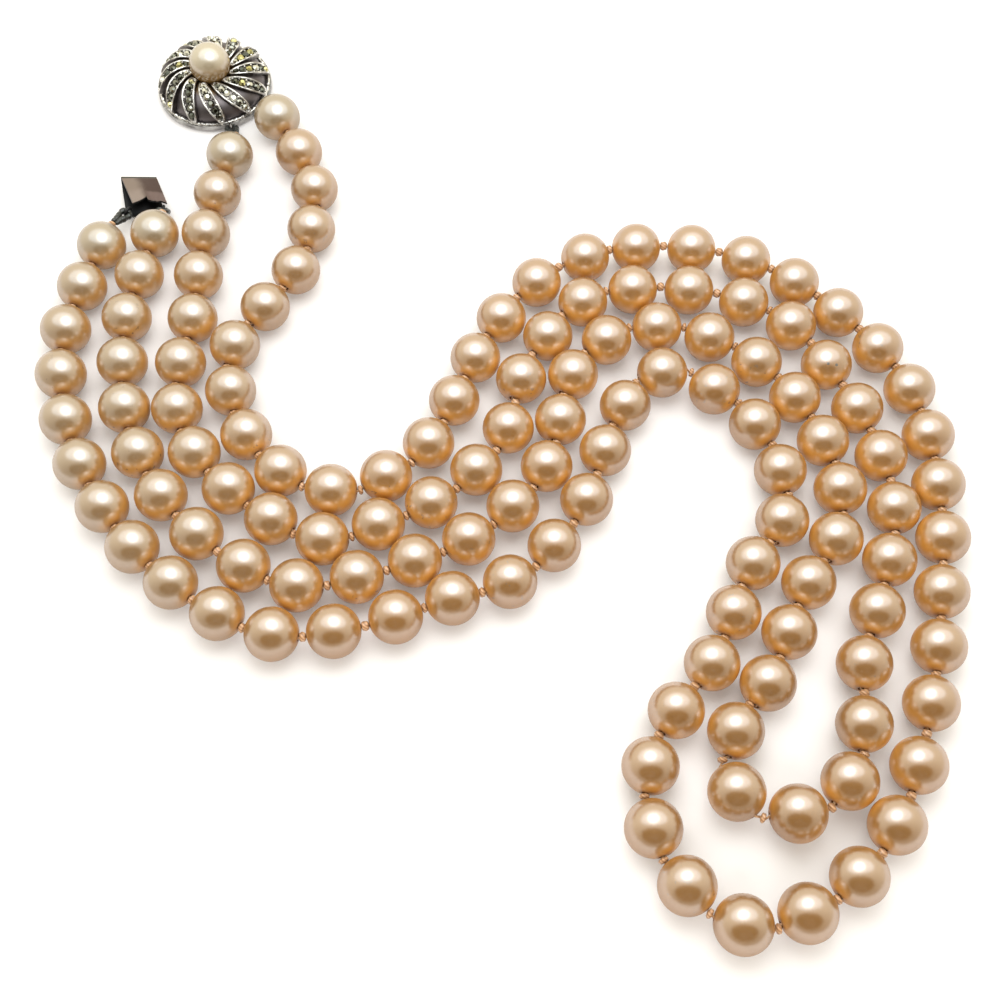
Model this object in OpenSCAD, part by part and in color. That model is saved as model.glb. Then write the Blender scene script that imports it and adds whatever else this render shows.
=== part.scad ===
// Two strands of knotted pearls on one round pinwheel clasp, laid out unfastened.
// Lengths in millimetres, +X to the right, +Y away from the viewer, +Z up, surface at z = 0.

/* [Pearls] */
// Diameter of every pearl on the strands
pearl_d = 8; // [6:0.1:10]
// Room for a knot between neighbouring pearls
knot_gap = 0.65; // [0.6:0.05:1]
// How much of that room a sharp bend may take up
knot_give = 0.1; // [0:0.05:0.1]
// Least gap between pearls of different rows
row_gap = 0.2; // [0.15:0.05:0.4]
// Hole drilled through each pearl
bore_d = 1; // [0.9:0.05:1.4]

/* [Thread] */
// Diameter of the silk thread
thread_d = 0.4; // [0.3:0.05:0.5]
// Outer diameter of a knot
knot_d = 1.4; // [1.2:0.1:1.6]
// Diameter of a knot where the thread leaves it
knot_neck_d = 0.5; // [0.5:0.05:0.7]
// Clearance between a knot and the pearls beside it
knot_play = 0.12; // [0.1:0.01:0.15]
// How far the thread runs straight on beyond each hole
thread_lead = 0.08; // [0.05:0.01:0.1]

/* [Clasp case] */
// Diameter of the clasp over its base flange
clasp_d = 20.2; // [18:0.2:24]
// Height of the base flange's underside above the back
flange_lift = 0.6; // [0.4:0.1:1]
// Thickness of the base flange
flange_t = 0.8; // [0.6:0.1:1.2]
// How far the box wall stands inside the flange
flange_lip = 1.2; // [0.6:0.1:2]
// Sheet thickness of the box
case_wall = 0.4; // [0.3:0.05:0.6]
// Height of the raised ring's centre line above the back
crown_base = 1; // [0.8:0.1:1.4]
// Thickness of the raised ring, from its centre line to the ray floors
crown_rise = 4.35; // [4:0.05:5]
// How far the ray floors stand proud of the dark dome between them
ray_proud = 0.55; // [0.3:0.05:0.8]

/* [Rays] */
// Number of rays
ray_count = 12; // [10:1:14]
// Greatest width of a ray
ray_w = 2.4; // [2:0.1:2.8]
// Width of the raised border round a ray
border_w = 0.32; // [0.25:0.01:0.4]
// Height of the raised border above the ray floor
border_h = 0.4; // [0.2:0.05:0.6]
// How far a ray sweeps round between its inner end and its tip, in degrees
ray_sweep = 30; // [20:1:40]
// Direction of the first ray's tip, in degrees
ray_turn = -76; // [-90:1:-60]
// Marcasites set in each ray
stones_per_ray = 6; // [4:1:7]
// Greatest width of a marcasite
stone_d = 1.05; // [0.8:0.05:1.2]
// Height of a marcasite
stone_h = 0.45; // [0.3:0.05:0.6]
// Clearance round and under each marcasite
stone_gap = 0.12; // [0.1:0.01:0.15]

/* [Clasp pearl] */
// Diameter of the pearl on the clasp
centre_pearl_d = 7.2; // [6:0.1:7.4]
// Height of that pearl's centre above the back
centre_pearl_z = 6.6; // [6.2:0.1:7.2]
// Room between that pearl and the rays' inner ends
ray_room = 0.15; // [0.1:0.05:0.3]
// Peg that the pearl is glued on
peg_d = 0.9; // [0.7:0.05:1.2]
// Glue space round the peg
glue_gap = 0.1; // [0.05:0.05:0.2]

/* [Rings and loops] */
// Wire of the rings that the strands are tied to
ring_wire_d = 0.5; // [0.4:0.05:0.6]
// Outer diameter of those rings
ring_d = 2; // [1.8:0.1:2.4]
// Height of a ring's lowest point above the clasp's back, and above the leaf's underside
ring_lift = 0.15; // [0.1:0.05:0.2]
// Wire-covered end loop of each strand
loop_wire_d = 0.44; // [0.36:0.02:0.5]
// Gap between a loop's ends and the knot tied to it
tie_gap = 0.1; // [0.05:0.05:0.2]
// Distance from the clasp's flange to the nearer end knot
clasp_reach = 2; // [1.8:0.1:4]
// Direction from the clasp's centre to that knot, in degrees
clasp_turn = -32; // [-50:1:-20]

/* [Tongue] */
// Width of the tongue
tongue_w = 6.4; // [5.6:0.1:6.8]
// Length of the lower leaf
lower_leaf_l = 8.6; // [8:0.1:10]
// Length of the sprung upper leaf
upper_leaf_l = 7.4; // [6:0.1:7.8]
// Opening angle between the two leaves, in degrees
spring_angle = 13; // [8:1:16]
// Sheet thickness of the tongue
leaf_t = 0.35; // [0.25:0.05:0.45]
// Outside radius of its fold
fold_r = 0.4; // [0.35:0.05:0.5]
// Depth of the notch in the upper leaf's free edge
notch_depth = 1.3; // [0.6:0.1:2]
// Distance from the end knots' middle to the tongue's rings
tongue_reach = 2.9; // [2.5:0.1:5]
// Tongue's shift to the right of the end knots' middle
tongue_shift = 1.2; // [0.4:0.1:1.6]
// Tongue's turn on the surface, in degrees
tongue_turn = 15; // [0:1:25]
// Sideways lean of the tongue, held up by the left strand, in degrees
tongue_lean = 14; // [0:1:18]
// Side play of the tongue in the clasp's slot
slot_play = 0.4; // [0.2:0.1:0.6]
// Height of the chamber behind the slot, where the sprung leaf opens
chamber_h = 1.9; // [1.7:0.1:2.2]

/* [Hidden] */
$fn = 48;

// Laid route of each strand, from the tongue to the clasp: pearl number, and x and y as shares of
// the spacing of its pearls.
outer_route = [
    [0, -7.63, 5.26], [2, -8.03, 3.29], [4, -7.75, 1.39], [6, -6.88, -0.35], [8, -5.55, -1.79],
    [10, -3.76, -2.72], [12, -1.73, -2.43], [13, -0.81, -2.08], [14, 0.17, -1.79], [16, 1.5, -0.23],
    [18, 2.25, 1.68], [19, 2.95, 2.37], [20, 3.87, 2.02], [22, 4.91, 0.35], [23, 4.86, -0.64],
    [24, 4.28, -1.45], [26, 3.47, -3.24], [27, 2.83, -4.05], [28, 2.37, -4.97], [29, 2.37, -5.95],
    [30, 2.83, -6.82], [31, 3.64, -7.4], [32, 4.62, -7.23], [34, 6.13, -5.9], [36, 6.94, -3.93],
    [38, 7.4, -1.97], [40, 7.63, 0.06], [42, 7.4, 2.02], [44, 6.3, 3.7], [46, 4.68, 4.91],
    [48, 2.6, 5.2], [49, 1.62, 4.97], [50, 0.69, 4.39], [52, -0.46, 2.66], [54, -1.27, 0.92],
    [55, -1.97, 0.23], [56, -2.95, -0.06], [58, -4.51, 1.1], [60, -4.86, 2.95], [62, -3.87, 4.68],
    [64, -3.64, 6.65], [66, -4.51, 8.5]];
inner_route = [
    [0, -6.65, 5.55], [2, -6.94, 3.58], [4, -6.71, 1.62], [6, -5.9, -0.12], [8, -4.34, -1.5],
    [9, -3.41, -1.85], [10, -2.43, -1.68], [12, -0.52, -0.98], [14, 0.81, 0.46], [16, 1.33, 2.31],
    [17, 1.97, 3.06], [18, 2.89, 3.35], [20, 4.68, 2.6], [22, 5.72, 0.92], [23, 5.9, 0],
    [24, 5.72, -0.98], [25, 5.2, -1.79], [27, 4.34, -3.58], [28, 3.76, -4.39], [29, 3.7, -5.38],
    [30, 4.62, -5.72], [31, 5.49, -5.2], [33, 5.95, -3.24], [35, 6.59, -1.39], [36, 6.82, -0.4],
    [37, 6.71, 0.64], [39, 5.95, 2.54], [40, 5.38, 3.41], [41, 4.57, 3.93], [43, 2.49, 4.22],
    [44, 1.56, 3.93], [45, 0.87, 3.18], [46, 0.4, 2.25], [47, 0.17, 1.21], [49, -1.21, -0.29],
    [50, -2.08, -0.69], [51, -3.06, -0.98], [52, -3.93, -0.58], [54, -5.38, 0.75],
    [55, -5.78, 1.62], [57, -5.72, 3.53], [59, -5.66, 5.55], [61, -5.38, 7.51]];
settle_rounds = 20;
push_share = 0.4;

pearl_r = pearl_d / 2;
pitch = pearl_d + knot_gap;
least_pitch = pitch - knot_give;
thread_z = pearl_r;

// Smooth curve through a route's rows, read at pearl number i
function slope(rows, k) =
    k == 0 ? (rows[1] - rows[0]) / (rows[1][0] - rows[0][0]) :
    k == len(rows) - 1 ? (rows[k] - rows[k - 1]) / (rows[k][0] - rows[k - 1][0]) :
    let (before = rows[k][0] - rows[k - 1][0], after = rows[k + 1][0] - rows[k][0])
    ((rows[k] - rows[k - 1]) * after / before + (rows[k + 1] - rows[k]) * before / after)
        / (before + after);
function row_before(rows, i) = max([for (k = [0:len(rows) - 2]) if (rows[k][0] <= i) k]);
function on_route(rows, i) =
    let (k = row_before(rows, i), span = rows[k + 1][0] - rows[k][0], s = (i - rows[k][0]) / span)
    (2 * s^3 - 3 * s^2 + 1) * rows[k] + (s^3 - 2 * s^2 + s) * span * slope(rows, k)
        + (3 * s^2 - 2 * s^3) * rows[k + 1] + (s^3 - s^2) * span * slope(rows, k + 1);
function laid(rows) =
    [for (i = [0:rows[len(rows) - 1][0]]) let (p = on_route(rows, i)) [p[1], p[2]] * pitch];

// Pearls that lie too close push each other apart, each by half of what is missing
outer_count = outer_route[len(outer_route) - 1][0] + 1;
function on_same_strand(i, j) = abs(i - j) == 1 && max(i, j) != outer_count;
function least(i, j) = on_same_strand(i, j) ? least_pitch : pearl_d + row_gap;
function total(v, k = 0) = k == len(v) - 1 ? v[k] : v[k] + total(v, k + 1);
function pushed(all, i) =
    total(concat([all[i]], [for (j = [0:len(all) - 1]) let (d = all[i] - all[j])
        if (i != j && abs(d.x) < pitch && abs(d.y) < pitch && norm(d) < least(i, j))
            d * (least(i, j) / norm(d) - 1) * push_share]));
function settled(all, rounds) =
    rounds == 0 ? all : settled([for (i = [0:len(all) - 1]) pushed(all, i)], rounds - 1);
both_strands = settled(concat(laid(outer_route), laid(inner_route)), settle_rounds);
outer_xy = [for (i = [0:outer_count - 1]) both_strands[i]];
inner_xy = [for (i = [outer_count:len(both_strands) - 1]) both_strands[i]];

// Hole through pearl i, in line with its two neighbours, and a point on it
function unit(v) = v / norm(v);
function hole_dir(xy, i) = unit(xy[min(i + 1, len(xy) - 1)] - xy[max(i - 1, 0)]);
function on_hole(xy, i, reach) = xy[i] + hole_dir(xy, i) * reach;

// Knots: halfway between neighbouring pearls, as far aside as their holes lead on average, and one
// outside each end pearl
knot_reach = pearl_r + knot_gap / 2;
function knot_between(xy, i) =
    let (line = unit(xy[i] - xy[i - 1]),
        lead = (hole_dir(xy, i - 1) - hole_dir(xy, i)) * knot_reach / 2)
    (xy[i - 1] + xy[i]) / 2 + lead - line * (lead * line);
function knots(xy) =
    let (last = len(xy) - 1)
    concat([on_hole(xy, 0, -knot_reach)], [for (i = [1:last]) knot_between(xy, i)],
        [on_hole(xy, last, knot_reach)]);
outer_knots = knots(outer_xy);
inner_knots = knots(inner_xy);

// Clasp: it lies beyond the outer strand's last knot
flange_r = clasp_d / 2;
box_r = flange_r - flange_lip;
flange_top = flange_lift + flange_t;
outer_end = outer_knots[len(outer_knots) - 1];
inner_end = inner_knots[len(inner_knots) - 1];
clasp_xy = outer_end - (flange_r + clasp_reach) * [cos(clasp_turn), sin(clasp_turn)];
to_inner = inner_end - clasp_xy;
strand_turns = [clasp_turn, atan2(to_inner.y, to_inner.x)];
slot_turn = (strand_turns[0] + strand_turns[1]) / 2 + 180;

// Origin: the middle of the whole layout, on the surface
low_x = min([for (p = both_strands) p.x]) - pearl_r;
high_x = max([for (p = both_strands) p.x]) + pearl_r;
low_y = min([for (p = both_strands) p.y]) - pearl_r;
high_y = clasp_xy.y + flange_r;
to_origin = [-(low_x + high_x) / 2, -(low_y + high_y) / 2, 0];

// Raised ring of the clasp: a doughnut that the rays lie on
crown_top_r = crown_rise + border_h;
crown_r = flange_r - crown_top_r;
dome_rise = crown_rise - ray_proud;
pearl_off = [-crown_r, centre_pearl_z - crown_base];
pearl_room = centre_pearl_d / 2 + ray_room;
inner_lean = atan2(pearl_off.y, pearl_off.x)
    - acos(min(1, (pearl_off * pearl_off + crown_top_r^2 - pearl_room^2)
        / (2 * norm(pearl_off) * crown_top_r)));
tip_lean = 14;
dome_steps = [0:30:150];
ray_stations = [0, 0.05, 0.15, 0.25, 0.35, 0.45, 0.55, 0.65, 0.75, 0.85, 0.95, 1];
ray_embed = 0.3;
first_stone = 0.13;
last_stone = 0.87;
table_share = 0.55;
floor_dip = 0.001;

// Rings: half sunk in the flange, or standing on the lower leaf's corners, each turned to its knot
ring_mid_r = (ring_d - ring_wire_d) / 2;
ring_out = ring_mid_r / 2 + ring_wire_d / 2;
ring_z = ring_d / 2 + ring_lift;
loop_r = ring_mid_r;
loop_stop = knot_d / 2 + tie_gap;
loop_pinch = loop_wire_d * 0.8;

// Tongue: its own frame has the origin between the rings, under the rear edge
tongue_lift = tongue_w / 2 * sin(tongue_lean);
knots_middle = (outer_knots[0] + inner_knots[0]) / 2;
tongue_xy = knots_middle + tongue_reach * [-sin(tongue_turn), cos(tongue_turn)]
    + tongue_shift * [cos(tongue_turn), sin(tongue_turn)];
function leaned(v) =
    let (x = v.x * cos(tongue_lean) + v.z * sin(tongue_lean),
        z = v.z * cos(tongue_lean) - v.x * sin(tongue_lean))
    [x * cos(tongue_turn) - v.y * sin(tongue_turn), x * sin(tongue_turn) + v.y * cos(tongue_turn), z];
function unleaned(v) =
    let (x = v.x * cos(tongue_turn) + v.y * sin(tongue_turn),
        y = v.y * cos(tongue_turn) - v.x * sin(tongue_turn))
    [x * cos(tongue_lean) - v.z * sin(tongue_lean), y, x * sin(tongue_lean) + v.z * cos(tongue_lean)];
tongue_place = [tongue_xy.x, tongue_xy.y, tongue_lift];
tongue_ties = [outer_knots[0], inner_knots[0]];
function tongue_ring(k) = [(2 * k - 1) * (tongue_w - ring_wire_d) / 2, ring_wire_d / 2, ring_z];
function tongue_hole(k) = tongue_place + leaned(tongue_ring(k));
function tongue_ring_turn(k) =
    let (d = unleaned(flat(tongue_ties[k], thread_z) - tongue_hole(k))) atan2(d.y, d.x);

// Slot of the clasp box for the tongue
slot_w = tongue_w + 2 * slot_play;
mouth_h = 3 * leaf_t + slot_play / 2;
cavity_l = lower_leaf_l + slot_play;

function flat(p, z) = [p.x, p.y, z];

module wire_ring(outer_d, wire_d) {
    rotate_extrude()
        translate([(outer_d - wire_d) / 2, 0])
            circle(d = wire_d);
}

module pearls(xy) {
    for (i = [0:len(xy) - 1]) {
        d = hole_dir(xy, i);
        translate(flat(xy[i], pearl_r))
            rotate([0, 90, atan2(d.y, d.x)])
                difference() {
                    sphere(d = pearl_d);
                    cylinder(h = 2 * pearl_d, d = bore_d, center = true);
                }
    }
}

// Solid through equal rings of points, closed by the first and the last ring
module loft(rings) {
    sides = len(rings[0]);
    runs = len(rings) - 1;
    last = runs * sides;
    polyhedron(points = [for (ring = rings) each ring], faces = concat(
        [[for (i = [0:sides - 1]) i], [for (i = [sides - 1:-1:0]) last + i]],
        [for (k = [0:runs - 1], i = [0:sides - 1])
            [k * sides + i, (k + 1) * sides + i, (k + 1) * sides + (i + 1) % sides]],
        [for (k = [0:runs - 1], i = [0:sides - 1])
            [k * sides + i, (k + 1) * sides + (i + 1) % sides, k * sides + (i + 1) % sides]]));
}

// Thread: rings just outside both mouths of every hole and four over each knot, as place,
// direction, radius
knot_l = knot_gap - 2 * knot_play;
function knot_dir(xy, i) =
    i == 0 ? hole_dir(xy, 0) : i == len(xy) ? hole_dir(xy, i - 1) : unit(xy[i] - xy[i - 1]);
function knot_rings(p, d) =
    [for (s = [-1, -0.4, 0.4, 1]) [p + d * s * knot_l / 2, d, (abs(s) < 1 ? knot_d : knot_neck_d) / 2]];
function hole_rings(xy, i) =
    [for (side = [-1, 1]) [on_hole(xy, i, side * (pearl_r + thread_lead)), hole_dir(xy, i), thread_d / 2]];
function thread_ring(ring) =
    let (d = ring[1])
    [for (a = [0:60:300])
        flat(ring[0], thread_z) + ring[2] * [-d.y * cos(a), d.x * cos(a), sin(a)]];

module knotted_thread(xy, ties) {
    loft([for (i = [0:len(xy)])
        each [for (ring = concat(knot_rings(ties[i], knot_dir(xy, i)),
            i < len(xy) ? hole_rings(xy, i) : [])) thread_ring(ring)]]);
}

module outer_pearls() {
    color("#e3c7a4")
        translate(to_origin)
            pearls(outer_xy);
}

module inner_pearls() {
    color("#e6c8a2")
        translate(to_origin)
            pearls(inner_xy);
}

module outer_thread() {
    color("#b98d68")
        translate(to_origin)
            knotted_thread(outer_xy, outer_knots);
}

module inner_thread() {
    color("#b98d68")
        translate(to_origin)
            knotted_thread(inner_xy, inner_knots);
}

// Point of a ray's middle line, raised by rise from the doughnut's centre line
function ray_lean(u) = inner_lean + (tip_lean - inner_lean) * u;
function ray_angle(u) = -ray_sweep * (1 - u)^1.4;
function ray_point(u, rise) =
    let (r = crown_r + rise * cos(ray_lean(u)), a = ray_angle(u))
    [r * cos(a), r * sin(a), crown_base + rise * sin(ray_lean(u))];
function ray_normal(u) =
    let (a = ray_angle(u), lean = ray_lean(u)) [cos(lean) * cos(a), cos(lean) * sin(a), sin(lean)];
function ray_along(u) =
    unit(ray_point(min(u + 0.01, 1), crown_rise) - ray_point(max(u - 0.01, 0), crown_rise));
function ray_across(u) = cross(ray_normal(u), ray_along(u));
function ray_half(u) = ray_w / 2 * (0.36 + 0.64 * sin(180 * (0.08 + 0.82 * u))^0.9);

// Ray's section at u, across and up: border, sunk floor and border, closed at both ends
function ray_section(u, closed) =
    let (half = ray_half(u), lip = min(border_w, half / 2), floor_up = closed ? border_h : 0,
        deep = -ray_proud - ray_embed)
    [[-half, deep], [half, deep], [half, border_h], [half - lip, border_h],
        [half - lip, floor_up - floor_dip], [lip - half, floor_up - floor_dip],
        [lip - half, border_h], [-half, border_h]];
function ray_ring(u) =
    let (middle = ray_point(u, crown_rise), n = ray_normal(u), a = ray_across(u))
    [for (s = ray_section(u, u == 0 || u == 1)) middle + a * s[0] + n * s[1]];

module ray() {
    loft([for (u = ray_stations) ray_ring(u)]);
}

module each_ray() {
    for (k = [0:ray_count - 1])
        rotate([0, 0, ray_turn + k * 360 / ray_count])
            children();
}

// Box, flange and the dome between the rays, turned as one
module case_body() {
    dome = [for (lean = dome_steps)
        [crown_r + dome_rise * cos(lean), crown_base + dome_rise * sin(lean)]];
    well = dome[len(dome) - 1];
    rotate_extrude()
        polygon(concat(
            [[0, 0], [box_r, 0], [box_r, flange_lift], [flange_r, flange_lift],
                [flange_r, flange_top], [dome[0].x, flange_top]],
            [for (k = [1:len(dome) - 1]) dome[k]], [[0, well.y]]));
}

// Cup with the peg that carries the clasp's pearl
module pearl_seat() {
    well_z = crown_base + dome_rise / 2;
    cup_r = centre_pearl_d / 4;
    difference() {
        translate([0, 0, well_z - case_wall])
            cylinder(h = centre_pearl_z - centre_pearl_d / 2 - well_z + 2 * case_wall, r = cup_r);
        translate([0, 0, centre_pearl_z])
            sphere(d = centre_pearl_d + 2 * glue_gap);
    }
    translate([0, 0, well_z - case_wall])
        cylinder(h = centre_pearl_z - well_z + case_wall, d = peg_d);
}

module tongue_slot() {
    rotate([0, 0, slot_turn]) {
        translate([0, -slot_w / 2, case_wall])
            cube([2 * flange_r, slot_w, mouth_h]);
        translate([box_r - case_wall - cavity_l, -slot_w / 2, case_wall])
            cube([cavity_l - case_wall, slot_w, chamber_h]);
    }
}

module strand_rings() {
    for (turn = strand_turns)
        rotate([0, 0, turn])
            translate([flange_r + ring_out, 0, ring_z])
                rotate([90, 0, 0])
                    wire_ring(ring_d, ring_wire_d);
}

module clasp_case() {
    color("#8f8d88")
        translate(to_origin + flat(clasp_xy, 0)) {
            difference() {
                union() {
                    case_body();
                    each_ray() ray();
                }
                tongue_slot();
            }
            pearl_seat();
            strand_rings();
        }
}

// Room for a stone across its ray, and along it up to the next stone
stone_step = (last_stone - first_stone) / (stones_per_ray - 1);
function stone_room(u) = 2 * (ray_half(u) - min(border_w, ray_half(u) / 2) - stone_gap);
function stone_reach(u) =
    norm(ray_point(u + stone_step / 2, crown_rise) - ray_point(u - stone_step / 2, crown_rise)) - stone_gap;

// Cut stone: flat back, straight girdle and eight crown facets round a table
module marcasite(d) {
    girdle_h = stone_h / 3;
    rotate([0, 0, 22.5]) {
        cylinder(h = girdle_h, d = d, $fn = 8);
        translate([0, 0, girdle_h])
            cylinder(h = stone_h - girdle_h, d1 = d, d2 = d * table_share, $fn = 8);
    }
}

module marcasites() {
    color("#4b4d45")
        translate(to_origin + flat(clasp_xy, 0))
            each_ray()
                for (k = [0:stones_per_ray - 1]) {
                    u = first_stone + k * stone_step;
                    n = ray_normal(u);
                    translate(ray_point(u, crown_rise + stone_gap))
                        rotate([0, acos(n.z), atan2(n.y, n.x)])
                            marcasite(min(stone_d, stone_room(u), stone_reach(u)));
                }
}

module clasp_pearl() {
    color("#efe6d2")
        translate(to_origin + flat(clasp_xy, centre_pearl_z))
            difference() {
                sphere(d = centre_pearl_d);
                translate([0, 0, -centre_pearl_d])
                    cylinder(h = centre_pearl_d + glue_gap, d = peg_d + 2 * glue_gap);
            }
}

// Folded strip seen from its side: rear edge, lower leaf, fold and sprung leaf
module tongue_strip() {
    fold_y = lower_leaf_l - fold_r;
    arc = [for (a = [-90:30:90 + spring_angle]) [fold_y + fold_r * cos(a), fold_r + fold_r * sin(a)]];
    inner_r = fold_r - leaf_t;
    back = [-cos(spring_angle), sin(spring_angle)];
    up = [sin(spring_angle), cos(spring_angle)];
    spring = [fold_y, fold_r];
    rotate([90, 0, 90])
        translate([0, 0, -tongue_w / 2])
            linear_extrude(height = tongue_w)
                polygon(concat([[0, leaf_t], [0, 0]], arc,
                    [spring + up * fold_r, spring + up * fold_r + back * upper_leaf_l,
                        spring + up * inner_r + back * upper_leaf_l, spring + up * inner_r,
                        [fold_y, leaf_t]]));
}

module notch_cut() {
    free_y = lower_leaf_l - fold_r - upper_leaf_l * cos(spring_angle);
    translate([-tongue_w / 8, free_y, leaf_t * 2])
        linear_extrude(height = upper_leaf_l)
            polygon([[-tongue_w / 4, -notch_depth], [0, notch_depth], [tongue_w / 16, -notch_depth]]);
}

module tongue() {
    color("#5b5350")
        translate(to_origin + tongue_place)
            rotate([0, tongue_lean, tongue_turn]) {
                difference() {
                    tongue_strip();
                    notch_cut();
                }
                for (k = [0, 1])
                    translate(tongue_ring(k))
                        rotate([90, 0, tongue_ring_turn(k)])
                            wire_ring(ring_d, ring_wire_d);
            }
}

// Loop from a ring's hole to an end knot: a half turn through the ring and two legs
function loop_path(hole, knot, axis) =
    let (d = unit(knot - hole), s = unit(axis - (axis * d) * d), stop = knot - d * loop_stop)
    concat([stop + s * loop_pinch],
        [for (a = [90:-30:-90]) hole + d * loop_r * (1 - cos(a)) + s * loop_r * sin(a)],
        [stop - s * loop_pinch]);

function clasp_hole(turn) =
    let (r = flange_r + ring_out) flat(clasp_xy + r * [cos(turn), sin(turn)], ring_z);

// Wire swept along a path that lies in one plane
module wire_loop(points) {
    last = len(points) - 1;
    n = unit(cross(points[1] - points[0], points[last] - points[0]));
    loft([for (k = [0:last])
        let (aside = cross(n, unit(points[min(k + 1, last)] - points[max(k - 1, 0)])))
        [for (a = [0:60:300]) points[k] + loop_wire_d / 2 * (aside * cos(a) + n * sin(a))]]);
}

module end_loops() {
    clasp_ties = [outer_end, inner_end];
    color("#2f3634")
        translate(to_origin) {
            for (k = [0, 1]) {
                turn = strand_turns[k];
                across = tongue_ring_turn(k) + 90;
                wire_loop(loop_path(clasp_hole(turn), flat(clasp_ties[k], thread_z),
                    [-sin(turn), cos(turn), 0]));
                wire_loop(loop_path(tongue_hole(k), flat(tongue_ties[k], thread_z),
                    leaned([cos(across), sin(across), 0])));
            }
        }
}

outer_pearls();
inner_pearls();
outer_thread();
inner_thread();
clasp_case();
marcasites();
clasp_pearl();
tongue();
end_loops();
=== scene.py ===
import bpy
import numpy as np
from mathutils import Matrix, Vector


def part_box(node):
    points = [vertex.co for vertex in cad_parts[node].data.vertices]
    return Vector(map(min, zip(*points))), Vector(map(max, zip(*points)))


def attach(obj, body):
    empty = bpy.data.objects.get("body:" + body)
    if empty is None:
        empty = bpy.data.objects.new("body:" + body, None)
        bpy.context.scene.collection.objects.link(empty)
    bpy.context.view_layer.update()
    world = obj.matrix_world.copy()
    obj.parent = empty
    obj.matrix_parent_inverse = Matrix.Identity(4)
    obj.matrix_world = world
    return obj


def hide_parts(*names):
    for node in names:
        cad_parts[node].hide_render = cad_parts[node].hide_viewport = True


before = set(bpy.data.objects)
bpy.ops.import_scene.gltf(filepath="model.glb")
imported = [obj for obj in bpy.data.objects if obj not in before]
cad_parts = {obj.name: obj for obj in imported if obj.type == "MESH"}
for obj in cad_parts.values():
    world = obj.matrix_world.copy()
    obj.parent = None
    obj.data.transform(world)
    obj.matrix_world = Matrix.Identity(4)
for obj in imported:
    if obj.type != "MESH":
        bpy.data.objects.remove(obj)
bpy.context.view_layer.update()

mm = 0.001
chance = np.random.default_rng(23)
up = np.array([0.0, 0.0, 1.0])
turnOnce = 2 * np.pi
print("frame loaded,", len(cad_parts), "nodes")


# Vectors scaled to a length of 1.
def unit(vectors):
    return vectors / np.linalg.norm(vectors, axis=-1, keepdims=True)


# Eased step: 0 below low, 1 above high, and 3t^2 - 2t^3 of the share between them.
def eased(value, low, high):
    t = np.clip((value - low) / (high - low), 0, 1)
    return t * t * (3 - 2 * t)


# Turns of some equal steps round a circle.
def turnsOf(steps):
    return np.arange(steps) / steps * turnOnce


# Quads of a grid of points: each joins a point to the next in its row and in its column, and a
# closed direction wraps round to its start.
def gridQuads(rows, columns, closeRows=False, closeColumns=False):
    i = np.arange(rows if closeRows else rows - 1)[:, None]
    j = np.arange(columns if closeColumns else columns - 1)[None, :]
    nextI, nextJ = (i + 1) % rows, (j + 1) % columns
    corners = [i * columns + j, i * columns + nextJ, nextI * columns + nextJ, nextI * columns + j]
    return np.stack(np.broadcast_arrays(*corners), -1).reshape(-1, 4)


# Copies of one surface: its points turned by each copy's three axes, scaled and moved to its place.
def copied(points, quads, axes, places):
    moved = np.einsum("pk,nkc->npc", points, axes) + places[:, None]
    shift = (np.arange(len(places)) * len(points))[:, None, None]
    return moved.reshape(-1, 3), (quads[None] + shift).reshape(-1, quads.shape[1])


# Several surfaces as one: the corner numbers of each move past the points before it.
def joined(surfaces):
    starts = np.cumsum([0] + [len(points) for points, faces in surfaces[:-1]]).tolist()
    points = np.concatenate([points for points, faces in surfaces])
    faces = [[int(corner) + start for corner in face]
             for start, surface in zip(starts, surfaces) for face in surface[1]]
    return points, faces


# Faces of one surface with a number of points, repeated for each of its copies.
def repeated(faces, size, count):
    return [[corner + k * size for corner in face] for k in range(count) for face in faces]


# Mesh object from points in metres and faces, with one number for each point under each name.
def makePiece(name, points, faces, material, replaced=(), smooth=True, values=None,
              body="root"):
    mesh = bpy.data.meshes.new(name)
    mesh.from_pydata(points.tolist(), [], faces if isinstance(faces, list) else faces.tolist())
    mesh.polygons.foreach_set("use_smooth", np.full(len(mesh.polygons), smooth))
    for key, column in (values or {}).items():
        numbers = mesh.attributes.new(key, "FLOAT", "POINT")
        numbers.data.foreach_set("value", column.astype(np.float32))
    mesh.materials.append(material)
    mesh.update()
    piece = bpy.data.objects.new(name, mesh)
    bpy.context.scene.collection.objects.link(piece)
    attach(piece, body)
    if replaced:
        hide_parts(*replaced)
    print("made", name, len(mesh.polygons), "faces")


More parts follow.
